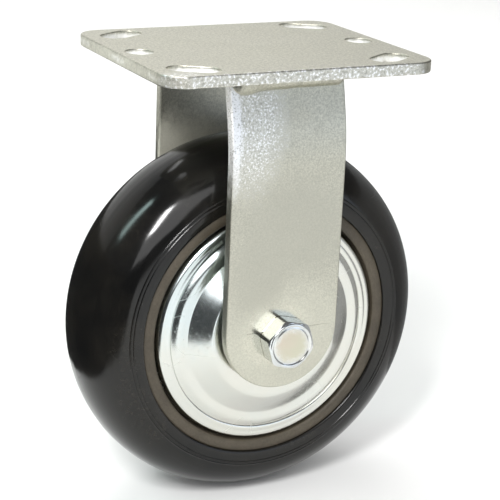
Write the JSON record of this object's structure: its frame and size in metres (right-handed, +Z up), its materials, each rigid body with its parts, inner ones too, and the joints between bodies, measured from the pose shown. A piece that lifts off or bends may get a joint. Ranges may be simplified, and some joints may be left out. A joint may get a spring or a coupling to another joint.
{
  "type": "fixed castor",
  "caption": "Fixed plate castor: two legs welded under a slotted plate hold a black round-tread wheel on a bolt with ball bearings.",
  "frame": {"origin": "centre of the top face of the plate, where the castor is fixed", "axes": "+Z up out of the plate's top face, X the rolling direction, Y along the axle with the bolt's head at -Y"},
  "size_m": [0.1524, 0.1, 0.188],
  "materials": {
    "plate_zinc": "bright zinc plate with a fine grain",
    "leg_zinc": "satin zinc plate with a fine sparkling grain",
    "weld_zinc": "zinc-plated weld bead",
    "bolt_zinc": "bright zinc plate",
    "nylon": "natural nylon",
    "bushing_steel": "ground steel",
    "bearing_steel": "polished bearing steel",
    "cage_brass": "pressed brass",
    "shield_steel": "pressed steel",
    "hub_zinc": "zinc plate",
    "disc_zinc": "mirror-bright zinc plate",
    "core_resin": "matte brown-grey moulded core",
    "tyre_rubber": "smooth glossy black rubber"
  },
  "bodies": {
    "rig": {"top_plate": "plate_zinc", "near_leg": "leg_zinc", "far_leg": "leg_zinc", "near_outer_weld": "weld_zinc", "near_inner_weld": "weld_zinc", "far_outer_weld": "weld_zinc", "far_inner_weld": "weld_zinc", "axle_bolt": "bolt_zinc", "lock_nut": "bolt_zinc", "nut_nylon_ring": "nylon", "axle_bushing": "bushing_steel", "near_end_collar": "bushing_steel", "far_end_collar": "bushing_steel", "near_inner_race": "bearing_steel", "far_inner_race": "bearing_steel"},
    "wheel": {"near_outer_race": "bearing_steel", "far_outer_race": "bearing_steel", "near_shield": "shield_steel", "far_shield": "shield_steel", "near_inside_shield": "shield_steel", "far_inside_shield": "shield_steel", "hub_tube": "hub_zinc", "near_hub_disc": "disc_zinc", "far_hub_disc": "disc_zinc", "core_ring": "core_resin", "tyre": "tyre_rubber"},
    "near_ball_set": {"near_balls": "bearing_steel", "near_cage": "cage_brass"},
    "far_ball_set": {"far_balls": "bearing_steel", "far_cage": "cage_brass"}
  },
  "joints": [
    {"name": "wheel_spin", "type": "hinge", "parent": "rig", "child": "wheel", "pos_m": [0, 0, -0.1118], "axis": [0, 1, 0], "continuous": true},
    {"name": "near_cage_orbit", "type": "hinge", "parent": "rig", "child": "near_ball_set", "pos_m": [0, -0.0224, -0.1118], "axis": [0, 1, 0], "continuous": true},
    {"name": "far_cage_orbit", "type": "hinge", "parent": "rig", "child": "far_ball_set", "pos_m": [0, 0.0224, -0.1118], "axis": [0, 1, 0], "continuous": true}
  ],
  "couplings": [
    {"joint": "near_cage_orbit", "follows": "wheel_spin", "ratio": 0.6175},
    {"joint": "far_cage_orbit", "follows": "wheel_spin", "ratio": 0.6175}
  ]
}
